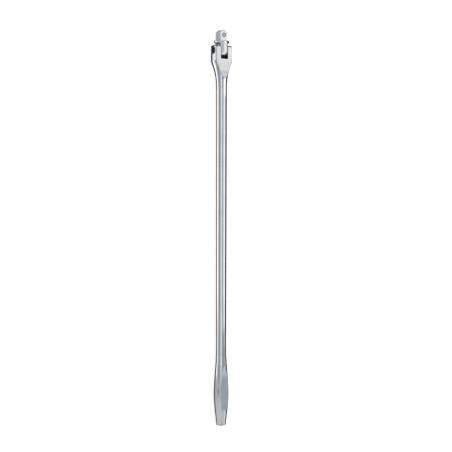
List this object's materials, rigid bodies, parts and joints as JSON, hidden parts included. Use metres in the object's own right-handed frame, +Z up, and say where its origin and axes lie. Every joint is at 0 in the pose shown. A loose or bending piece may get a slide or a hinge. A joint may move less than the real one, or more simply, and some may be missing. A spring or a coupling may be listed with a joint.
{
  "type": "breaker bar",
  "caption": "Long polished-chrome breaker bar with a swinging square drive head held in a forked yoke, a socket ball, a round shaft and a swelled grip with two hand flats.",
  "frame": {"origin": "on the bench surface under the middle of the bar's length", "axes": "+X along the bar from the grip end to the square drive, +Y across it along the hinge pin, +Z up, on the side of the socket ball"},
  "size_m": [0.608, 0.0344, 0.0197],
  "materials": {
    "chrome_bar": "polished",
    "chrome_head": "polished tang and collar, finely ground square",
    "pin_steel": "black oxide",
    "plunger_steel": "black oxide",
    "spring_steel": "drawn wire",
    "ball_steel": "polished ball"
  },
  "bodies": {
    "handle": {"handle_bar": "chrome_bar", "hinge_pin": "pin_steel", "tension_spring": "spring_steel"},
    "head": {"drive_head": "chrome_head", "socket_ball_spring": "spring_steel"},
    "plunger": {"tension_plunger": "plunger_steel"},
    "ball": {"socket_ball": "ball_steel"}
  },
  "joints": [
    {"name": "head_swing", "type": "hinge", "parent": "handle", "child": "head", "pos_m": [0.2727, 0, 0.00985], "axis": [0, -1, 0], "range_deg": [-95, 95]},
    {"name": "plunger_slide", "type": "slide", "parent": "handle", "child": "plunger", "axis": [-1, 0, 0], "range_m": [0, 0.001], "stiffness_N_per_m": 3000, "deforming": ["tension_spring"]},
    {"name": "ball_slide", "type": "slide", "parent": "head", "child": "ball", "axis": [0, 0, -1], "range_m": [0, 0.001], "stiffness_N_per_m": 1500, "deforming": ["socket_ball_spring"]}
  ]
}
